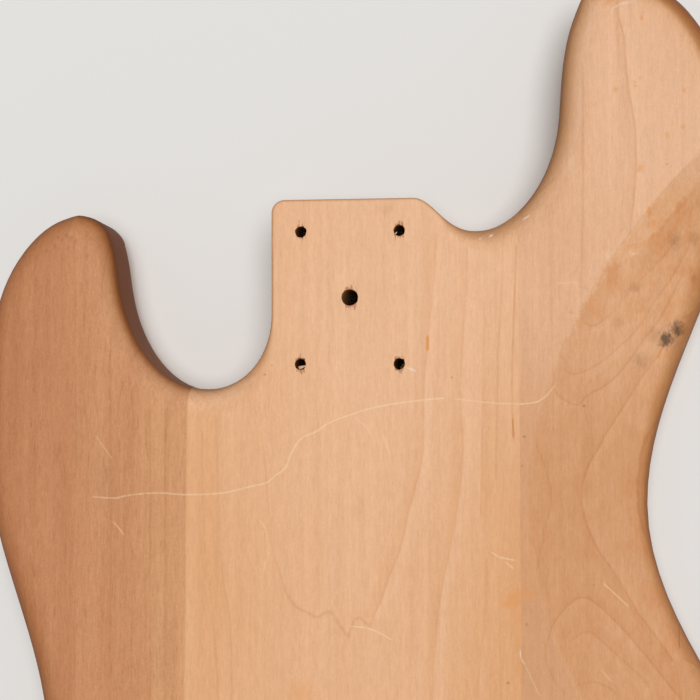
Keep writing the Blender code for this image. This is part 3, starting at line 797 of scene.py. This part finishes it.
centreLook["pale"] = {
    "strokes": [
        ("x", 0.46, 0.46, longScratch), ("x", 0.4, 0.34, longScratchEnd),
        ("x", 0.4, 0.45, [(0.2, -162.8), (7.8, -163.8), (16.2, -167.8)]),
        ("x", 0.5, 0.2, [(2.1, -83.9), (7.1, -88.8), (9.7, -93.8)]),
        ("y", 0.5, 0.22, [(-143.9, -33.1), (-140, -32.4), (-137, -31.2), (-127, -32.1), (-123, -34.4)])],
    "scratches": [(12.8, -90.7, 15.4, -98.3, 0.5, 0.22), (53.5, -134.6, 57, -136.8, 0.38, 0.4),
        (56.6, -136.6, 62.4, -137.7, 0.42, 0.42), (58.7, -138.3, 62, -140.9, 0.4, 0.36)],
}
centreLook["rustAndShade"] = {
    "strokes": [
        ("x", 0.95, 0.2, [(-25.4, -147.6), (-24.3, -150.3), (-20, -155.9), (-15.8, -158.1), (-12.4, -159.6),
            (-8.2, -157.6), (-4.7, -161), (-2.4, -164.3), (-0.5, -166.2), (1, -162.8), (3.3, -159.8),
            (7.8, -162.3), (8.6, -161.2)])],
    "scratches": [(61.8, -84.5, 62.1, -91.8, 0.5, 0.62), (29.8, -53.2, 29.8, -58.7, 0.6, 0.42)],
    "blots": [(59.6, -183.2, 0.8, 1, 0.6), (39, -69, 0.7, 1, 0.4)],
}
centreLook["sootAndShade"] = {
    "blots": [(4, -119.1, 2.6, 3, 0.07), (14, -4.5, 4.5, 0.8, 0.1), (-30, -63.9, 0.7, 1, 0.35),
        (-32.7, -67.5, 0.7, 1, 0.35)],
}
centreLook["amber"] = {
    "strokes": [("y", 1.5, 0.26, [(-181, 63.6), (-165, 63.4), (-152, 63.2)])],
    "scratches": [(29.8, -53, 29.8, -58.9, 0.85, 0.85), (61.7, -82.2, 62.2, -91.6, 0.7, 0.4)],
    "blots": [(61.5, -152.6, 5.5, 1, 0.58), (-18.9, -188, 7.5, 0.8, 0.34), (21, -141.6, 13, 0.35, 0.12)],
}
centreLook["chalk"] = {
    "scratches": [(53.2, -15.2, 54.4, -14.3, 0.5, 0.8), (49.4, -16.3, 50.2, -15.8, 0.4, 0.7),
        (22, -65.2, 25.4, -66.6, 0.55, 0.32), (64.2, -170.9, 64.3, -173.9, 0.35, 0.4)],
}

bassLook = {
    "heartX": [(-430, 110), (-200, 98), (-114, 96.4), (14, 98.4), (80, 92), (100, 92)],
    "heartDepth": [(-430, 66), (-200, 60.5), (-114, 60), (-60, 58.8), (14, 58.4), (100, 58)], "sway": 3,
    "ripple": 1.6, "ringWidth": 7, "rings": [24, 31, 38, 45.1, 52.2, 59.3, 66.5, 74, 82, 90, 98, 106, 114],
    "lowerPart": (-35, -110), "toneAbove": [(64, 0.72), (80, 0.68), (92, 0.8), (104, 0.86), (170, 0.74)],
    "toneBelow": [(64, 0.2), (80, 0.24), (100, 0.26), (170, 0.22)], "streak": 0.34, "blotch": 0.45,
    "bands": 0.14, "thread": 0.17, "fibre": 0.3, "fuzz": 0.16, "line": 0.1, "poreFrom": 0.66, "pore": 0.08,
    "rough": 0.55, "paintedShadeBlue": 2.65, "upperShadingFrom": 0.15, "shine": 0.22,
    "rightPaintedShading": [(-230, 0.2), (-160, 0.16), (-110, 0.03), (-30, 0.06), (0, -0.04), (40, -0.2), (90, -0.24)],
    "leftPaintedShading": [(-30, 0.06), (0, 0.13), (90, 0.13)],
    "upperPaintedShading": [(-30, 0.06), (20, 0.02), (55, -0.15), (90, -0.32)],
    "edge": [(-0.3, 0.41), (0, 0.41), (0.2, 0.39), (0.42, 0.51), (0.72, 0.79), (0.86, 0.93), (0.94, 1),
        (1.2, 1)],
    "dark": (0.59, 0.278, 0.12), "light": (0.802, 0.476, 0.286),
}
bassLook["backLines"] = [
    ("y", 0.9, 0, [(-48, 88), (-36, 87.7), (-21, 88.2), (-2, 88.7), (24, 88.9), (50, 88.9)]),
    ("y", 1.3, 0.12, [(-15.7, 106.1), (1.3, 108), (12.7, 108.6), (24.1, 108.5), (32.9, 107.3), (37.5, 106.4),
        (46.4, 105.4), (52.5, 104.9), (59.8, 104.5), (64.5, 103.5), (69.5, 102.4), (74.1, 102.3)]),
    ("y", 0.7, 0, [(46.4, 102.8), (51.8, 102.5), (54.9, 102.6), (60.7, 102), (65.7, 102.4), (68.7, 102.8)]),
    ("y", 0.6, 0, [(-73, 77), (-57, 76.7), (-40, 76.5), (-10, 76.7)]),
    ("y", 0.6, 0, [(-62, 79.7), (-36, 79.9), (-8, 79.3)]),
    ("y", 0.6, 0, [(-90, 69.4), (-40, 69.6), (-8, 69.9)]),
    ("x", 1, -0.05, [(88.2, -48.3), (91.7, -49.7), (95.5, -47.8), (99.3, -44.7), (103.1, -40.1), (106.9, -36),
        (111.8, -30.6), (119.4, -22.6), (123.6, -17)]),
    ("x", 0.9, -0.05, [(80.8, -65.6), (83.8, -67.8), (87.1, -67.4), (92.8, -64.7), (97.3, -61.6),
        (102.3, -57), (106.9, -52.8), (111.8, -46.3), (115.7, -39.5), (120.6, -33), (129, -18.7)]),
    ("x", 1, -0.05, [(77, -73.1), (79.6, -76.5), (83.3, -78.7), (85.9, -79.4), (89, -76.8), (91.6, -74.8),
        (95.8, -72.5), (99.6, -69.5), (104.2, -64.5), (109.9, -56.5), (117.6, -46.2), (125.2, -31.8)]),
    ("y", 1, 0.1, [(-176, 121.5), (-166, 114.6), (-157, 107.9), (-149, 103.4), (-141, 98.6), (-135, 94.2),
        (-128, 90.8), (-121, 88.3), (-113, 87.3), (-106, 88.8), (-101, 90.7), (-96, 93.7), (-91, 96.4),
        (-85, 100.2), (-76, 106), (-70, 109.9), (-62, 115.6), (-54, 121)]),
    ("y", 0.9, 0, [(-140.5, 71), (-135, 71.7), (-130, 72.9), (-124, 74), (-118, 75.6), (-113, 76),
        (-108, 75.2), (-104, 74.2), (-98, 72), (-94, 70.5), (-87, 69.4), (-79, 71)]),
    ("x", 1, -0.08, [(74.9, -165.2), (77.1, -160.5), (80.1, -156.5), (83.1, -153.6), (86.5, -151.8),
        (89.1, -151.9), (92.8, -154.2), (98.4, -159.4), (103.2, -164.3), (108.1, -170.3), (112.5, -175.6),
        (116.9, -181.2), (124, -190)]),
    ("y", 0.9, 0, [(-187, 80.6), (-184, 78.1), (-180, 75.9), (-176, 74.1), (-171, 73.6), (-165, 74.9)]),
    ("x", 0.8, -0.06, [(83.4, -167.2), (87.5, -164.7), (90.1, -164.4), (92.7, -166.3), (97.5, -170.8),
        (101.2, -174.2), (106.8, -179.5), (112.3, -185.4)]),
    ("x", 1, 0, [(83.2, -186.1), (85.1, -183.9), (87.3, -182.9), (90.7, -182.7), (94.7, -183.8),
        (98.1, -185.7), (101, -188.4)]),
]
bassLook["pale"] = {
    "strokes": [
        ("x", 0.4, 0.5, longScratchEnd), ("x", 0.5, 0.45, [(106, -21.8), (107.4, -22.6), (109.4, -22.4)])],
    "scratches": [(95.2, -146.4, 104.9, -155.5, 0.42, 0.42), (78.7, -33.9, 86.6, -33.3, 0.5, 0.16),
        (93.7, -178, 98.5, -183.2, 0.4, 0.25), (63.9, -173, 65.9, -176.4, 0.45, 0.35),
        (66, -176.5, 71.4, -188, 0.4, 0.18), (121.2, -51.2, 122.4, -53.4, 0.35, 0.6)],
    "blots": [(84.7, 11.3, 2.4, 3, 0.18), (97.8, -23.5, 1.2, 2.4, 0.3), (96.8, -31.5, 0.9, 1.6, 0.26),
        (92.5, -37, 1, 1.8, 0.28), (101.5, -32.5, 0.9, 1, 0.24), (114.9, -58.3, 5.5, 1, 0.13),
        (123.3, -43.1, 5, 1.6, 0.16), (129.1, -57, 4, 1.6, 0.14)],
}
bassLook["rustAndShade"] = {
    "strokes": [
        ("y", 0.9, 0.26, [(-157.7, 123.8), (-151.3, 121.5), (-141.8, 116.9), (-132.4, 113.2), (-124.8, 110.4),
            (-115.3, 108.8), (-107.7, 109), (-94.4, 111.2), (-82.9, 117.5)]),
        # painted shade: this wide stroke darkens the bass horn's right side near its edge
        ("y", 6, 0.48, [(45, 139.6), (57.9, 135.4), (63.7, 132.2), (71.5, 126.8), (77, 121), (81, 113)])],
    "blots": [(99, -29.5, 4, 1.7, 0.1), (121.6, -53, 1, 1.4, 0.55), (120.1, 10.9, 0.8, 0.6, 0.5),
        (130.5, -31, 1.2, 2.4, 0.3), (91.8, -147.1, 0.6, 1, 0.4), (97.2, 76.6, 9, 0.5, 0.24)],
    "scratches": [(123.9, -162.5, 123.8, -171.4, 0.4, 0.45)],
}
bassLook["sootAndShade"] = {
    "blots": [(119.7, -54, 3.9, 1.2, 0.8), (124.2, -50.2, 3.9, 1.05, 0.78), (121.9, -52.6, 6.5, 1, 0.22),
        (115.8, -52.6, 4.2, 1, 0.18), (109.9, -62.4, 4.4, 1, 0.2), (123.2, -17.2, 3.6, 1.2, 0.2),
        (130.3, -16.5, 2.6, 1.6, 0.2), (108, -35.2, 3, 0.8, 0.18), (101.6, -48, 3.4, 1, 0.11),
        (88.6, -79.8, 0.7, 1, 0.4), (65.4, -102.4, 0.8, 1.2, 0.18), (66.5, -161.6, 0.9, 1.2, 0.2),
        (66, -91.4, 0.9, 0.6, 0.4)],
}
bassLook["amber"] = {
    "strokes": [
        ("x", 0.6, 0.3, [(105.4, -19.4), (111.8, -18.4), (115.6, -15.4), (121, -9.5), (126.9, -3.3),
            (131, 1.5)]),
        ("x", 1.3, 0.24, [(104.6, -20), (108, -19.6), (111.8, -18.6), (114.6, -16.6)])],
    "scratches": [(118.4, -57.1, 116.6, -61.5, 0.7, 0.55)],
    "blots": [(66.8, -150.2, 5, 0.8, 0.5), (98, 75.8, 9, 0.62, 0.34), (66.8, -136, 5.5, 4, 0.16),
        (99, -30.5, 5, 1.8, 0.22), (92.5, -41, 3.6, 2.2, 0.18), (117.5, -8, 6.5, 1.8, 0.14),
        (113.7, -6.7, 2, 1.5, 0.6), (115, -11.5, 1.6, 2.2, 0.42), (101.4, 39.9, 1.4, 1, 0.5),
        (126.7, 38.9, 1.2, 1.2, 0.5), (126.2, 24.9, 1.1, 1.1, 0.6), (120.3, 21.9, 1.6, 1, 0.36),
        (110.1, 9.2, 2, 1.2, 0.5), (111.4, 66.9, 0.9, 1.5, 0.55), (112, 69, 1, 0.7, 0.35),
        (108.5, 42.5, 0.8, 1, 0.45), (110.6, 43.8, 0.9, 1, 0.45), (108.6, 40.9, 0.9, 0.8, 0.55)],
}
bassLook["chalk"] = {
    "strokes": [
        ("x", 0.7, 0.22, [(99.2, 68.1), (100.2, 70.5), (102.3, 72), (104.3, 72.8), (106.2, 73.2),
            (108.9, 73.7)])],
    "scratches": [(66, -8.9, 68.6, -7.3, 0.45, 0.55)],
}


# The holes: how far and how strongly their rims are torn, in mm, and how strongly painted shade darkens them
# with depth, less on the wall lit by painted light
holeLook = {
    "tear": 4.5, "rim": 0.66, "litWall": 0.5,
    "shadeToRust": [(-30, 0), (-9, 0), (-5, 0.12), (-2.5, 0.45), (-0.5, 1), (1, 1)],
    "depthShade": [(-30, 0.97), (-8, 0.97), (-4, 0.9), (-1.5, 0.72), (0, 0.55), (1, 0.55)],
}


def drilledHoles(board, colour, height):
    # the bolt holes are darkened inside with painted shade that deepens downwards, less on walls facing +x as
    # painted light, and their torn rims show reddish fibre above and below
    rims, insides = [], []
    tear = (board.noise("tear") - 0.5) * holeLook["tear"]
    holes = [(spot, boltHoles["bolt"], (0, 0)) for spot in boltHoles["spots"]]
    holes.append((boltHoles["middle"], boltHoles["hanging"], boltHoles["lean"]))
    for (x, y), diameter, lean in holes:
        aside = board.x + board.z * lean[0] - x * 1000
        along = board.y + board.z * lean[1] - y * 1000
        gap = (aside * aside + along * along).root()
        radius = diameter * 500
        insides.append(gap.fall(radius + 0.3, radius + 0.8) * board.z.fall(-0.5, 0))
        reach = (abs(along) / gap.upper(0.1)).rise(0.55, 1, 1.5) + 0.2
        rims.append(((gap - radius) / reach + tear).fall(0.1, 0.8))
    rim = strongest(rims) * board.upwards.rise(0.2, 0.5)
    inside = strongest(insides) * board.z.rise(-30, -26)
    colour = blended(rim * holeLook["rim"], colour, woodWays["rustAndShade"])
    # painted shade inside the holes, from reddish brown at the rim to near black deeper down
    paintedHoleShade = blended(board.z.follow(holeLook["shadeToRust"]), woodWays["sootAndShade"], woodWays["rustAndShade"])
    # painted light: walls that face +x are darkened less
    lit = board.sideways.rise(0.3, 0.95, holeLook["litWall"]) * board.z.rise(-15, -2)
    colour = blended(inside * (board.z.follow(holeLook["depthShade"]) - lit), colour, paintedHoleShade)
    return colour, height - rim * 0.8


scoopLook = {
    "rimWay": (0.89, -0.455, 0),  # across the scoop's rim, from the flat back
    "rimTint": (0.98, 0.89, 0.76, 1), "shadeAndSoilTint": (0.88, 0.74, 0.585, 1),
    "shadeAndSoilNearRim": 0.42, "shadeAndSoilNearEdge": 0.32, "shadeAndSoilAll": 0.3,
}


def shadedSoiledScoop(board, colour, height):
    # the hip scoop is darkened partly by painted shade of its tilt and partly by grime, with a torn rim at
    # its upper end
    torn = board.y.rise(-88, -50)
    jag = (board.crumble - 0.5) * (torn * 2.6 + 0.5)
    lip = board.z + jag
    scoopWards = board.flat.dot(scoopLook["rimWay"]).rise(80, 88)
    inScoop = board.upwards.rise(0.3, 0.6) * board.y.fall(2, 8) * scoopWards
    band = lip.fall(-0.9, -0.05) * inScoop
    sunk = (lip + board.y.rise(-29, -20, 3)).fall(-0.9, -0.05) * inScoop
    grime = board.noise("grime").rise(0.35, 0.7)
    # partly painted shade of the tilted scoop, partly grime; stronger towards the upper rim and the outer
    # edge
    shadedAndRubbed = board.y.rise(-60, -42, scoopLook["shadeAndSoilNearRim"]) + scoopLook["shadeAndSoilAll"]
    shadedAndRubbed = shadedAndRubbed + board.x.rise(98, 122, scoopLook["shadeAndSoilNearEdge"])
    shadeAndSoil = sunk * (0.55 + 0.45 * grime) * shadedAndRubbed
    colour = colour.tint(scoopLook["rimTint"], (band - sunk * 0.6) * (0.5 + grime * 0.5))
    colour = colour.tint(scoopLook["shadeAndSoilTint"], shadeAndSoil)
    return colour, height - band * 0.3


# Staves

def splitStave(name, form, left, right, cutters):
    bm = bmesh.new()
    bm.from_mesh(form.data)
    for seam, side in ((left, -1), (right, 1)):
        if seam is None:
            continue
        everything = bm.verts[:] + bm.edges[:] + bm.faces[:]
        made = bmesh.ops.bisect_plane(bm, geom=everything, dist=1e-7, plane_co=(seam, 0, 0),
                                      plane_no=(side, 0, 0), clear_outer=True)
        rim = [item for item in made["geom_cut"] if isinstance(item, bmesh.types.BMEdge)]
        for edge in rim:
            edge.smooth = False
            for vertex in edge.verts:
                vertex.co.x = seam
        bmesh.ops.holes_fill(bm, edges=rim, sides=0)
    bmesh.ops.recalc_face_normals(bm, faces=bm.faces)
    piece = meshObject(name, bm)
    piece.data.shade_smooth()
    across = [vertex.co.x for vertex in piece.data.vertices]
    for cutter in cutters:
        reach = [corner[0] for corner in cutter.bound_box]
        if min(reach) < max(across) and max(reach) > min(across):
            modifier = piece.modifiers.new(cutter.name, "BOOLEAN")
            modifier.operation, modifier.solver, modifier.object = "DIFFERENCE", "EXACT", cutter
    solid = piece.evaluated_get(bpy.context.evaluated_depsgraph_get())
    piece.data = bpy.data.meshes.new_from_object(solid)
    piece.modifiers.clear()
    bm = bmesh.new()
    bm.from_mesh(piece.data)
    for edge in bm.edges:
        if len(edge.link_faces) == 2 and edge.calc_face_angle() > math.radians(32):
            edge.smooth = False
    bm.to_mesh(piece.data)
    bm.free()
    return piece


def dress(piece, node, material):
    piece.data.materials.append(material)
    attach(piece, "root")
    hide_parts(node)


# Splinters left in two bolt holes: x, y from the heel's end, depth, direction in degrees, length, thickness
splinters = {
    "longSplinter": (-0.0197, -0.0651, 0.0009, 17, 0.0031, 0.0013),
    "shortSplinter": (0.0174, -0.0139, 0.001, 48, 0.0011, 0.0006),
}


def splinter(name, x, y, depth, turned, length, thick):
    # a flat sliver that is fixed at its thick end and bends upwards
    bm = bmesh.new()
    bmesh.ops.create_cone(bm, cap_ends=True, segments=8, radius1=thick / 2, radius2=thick / 7, depth=length)
    lengthways = [edge for edge in bm.edges if abs(edge.verts[0].co.z - edge.verts[1].co.z) > 1e-6]
    bmesh.ops.subdivide_edges(bm, edges=lengthways, cuts=5)
    for vertex in bm.verts:
        along = vertex.co.z / length + 0.5
        vertex.co = (along * length, vertex.co.y * 1.25, vertex.co.x * 0.6 + 0.22 * length * along * along)
    place = Vector((x, y + heelY, thickness - depth))
    turn = Matrix.Rotation(math.radians(turned), 4, "Z")
    bmesh.ops.transform(bm, matrix=Matrix.Translation(place) @ turn, verts=bm.verts)
    piece = meshObject(name, bm)
    piece.data.shade_smooth()
    return piece


def splinterWood():
    material, shader = newMaterial("splinterWood", 0.6, 0.22)
    spot = Signal(material.node_tree).node("TexCoord", output="Object")
    fibre = spot.noise(woodNoise["fibre"][0], 3, 0.6)
    blended(fibre, woodWays["rustAndShade"], woodWays["pale"]).into(shader, "Base Color")
    return material


form = outerForm()
cutters = [pocketCutter(), controlCutter()] + pickupCutters() + smallCutters() + boltCutters()
print("outer form and cutters made")
trebleStave = splitStave("trebleStave", form, None, bodyShape["trebleSeam"], cutters)
centreStave = splitStave("centreStave", form, bodyShape["trebleSeam"], bodyShape["bassSeam"], cutters)
bassStave = splitStave("bassStave", form, bodyShape["bassSeam"], None, cutters)
for tool in [form] + cutters:
    bpy.data.objects.remove(tool, do_unlink=True)
print("staves cut and routed")
dress(trebleStave, "treble_side_stave", woodMaterial("trebleWood", trebleLook))
dress(centreStave, "centre_stave", woodMaterial("centreWood", centreLook, drilledHoles))
dress(bassStave, "bass_side_stave", woodMaterial("bassWood", bassLook, shadedSoiledScoop))
sliverWood = splinterWood()
for name, shape in splinters.items():
    sliver = splinter(name, *shape)
    sliver.data.materials.append(sliverWood)
    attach(sliver, "root")
print("wood laid on")


# Floor, light and camera

stageLook = {
    "floorSize": 14, "floorDrop": 0.0006, "floorColour": (0.77, 0.76, 0.74),
    "air": 0.22, "backdrop": 0.757, "airColour": (1, 0.98, 0.952, 1),
    "lampTilt": (-4, 7), "lampSpread": 34, "lampStrength": 2.46,
    "cameraTurns": (-3.83106729, 6.85257483, -0.40177174),
    "cameraPlace": (-0.0000742, -0.058202, 0.6716934),
    "lens": 90, "sensor": 36,
}


def makeFloor():
    bm = bmesh.new()
    bmesh.ops.create_grid(bm, x_segments=1, y_segments=1, size=stageLook["floorSize"] / 2)
    bmesh.ops.translate(bm, verts=bm.verts, vec=(0, 0.17, -stageLook["floorDrop"]))
    floor = meshObject("floor", bm)
    material, shader = newMaterial("paleFloor", 0.9, 0.1)
    shader.inputs["Base Color"].default_value = (*stageLook["floorColour"], 1)
    tree = material.node_tree
    start = Signal(tree)
    below = start.node("NewGeometry", output="Backfacing")
    mixed = start.node("MixShader", {}, {0: below, 1: Signal(tree, shader.outputs[0]),
                                         2: start.node("BsdfTransparent")})
    mixed.into(tree.nodes["Material Output"], "Surface")
    floor.data.materials.append(material)


def makeAir():
    world = bpy.data.worlds.new("studioAir")
    scene.world = world
    world.use_nodes = True
    background = world.node_tree.nodes["Background"]
    background.inputs["Color"].default_value = stageLook["airColour"]
    seen = Signal(world.node_tree).node("LightPath", output="Is Camera Ray")
    strength = stageLook["air"] + seen * (stageLook["backdrop"] - stageLook["air"])
    strength.into(background, "Strength")


def makeLamp():
    # one broad, distant, soft light, so that the floor is evenly lit to its far end
    light = bpy.data.lights.new("softLight", "SUN")
    light.energy = stageLook["lampStrength"]
    light.angle = math.radians(stageLook["lampSpread"])
    lamp = bpy.data.objects.new("softLight", light)
    scene.collection.objects.link(lamp)
    lamp.location = (0, 0, 2)
    lamp.rotation_euler = [math.radians(angle) for angle in (*stageLook["lampTilt"], 0)]


def makeCamera():
    # the photograph's own view, found from the outline and the bolt holes
    turns = [math.radians(angle) for angle in stageLook["cameraTurns"]]
    turned = Matrix.Diagonal((1, -1, -1))
    for turn, axis in zip(turns, "XYZ"):
        turned = Matrix.Rotation(turn, 3, axis) @ turned
    back = turned.transposed()
    place = Vector((0, heelY, thickness)) - back @ Vector(stageLook["cameraPlace"])
    camera = bpy.data.objects.new("camera", bpy.data.cameras.new("camera"))
    scene.collection.objects.link(camera)
    axes = back @ Matrix.Diagonal((1, -1, -1))
    camera.matrix_world = Matrix.Translation(place) @ axes.to_4x4()
    camera.data.sensor_width = stageLook["sensor"]
    camera.data.lens = stageLook["lens"]
    scene.camera = camera


clearLight()
makeFloor()
makeAir()
makeLamp()
makeCamera()
scene.view_settings.view_transform = "Standard"
print("floor, light and camera set")
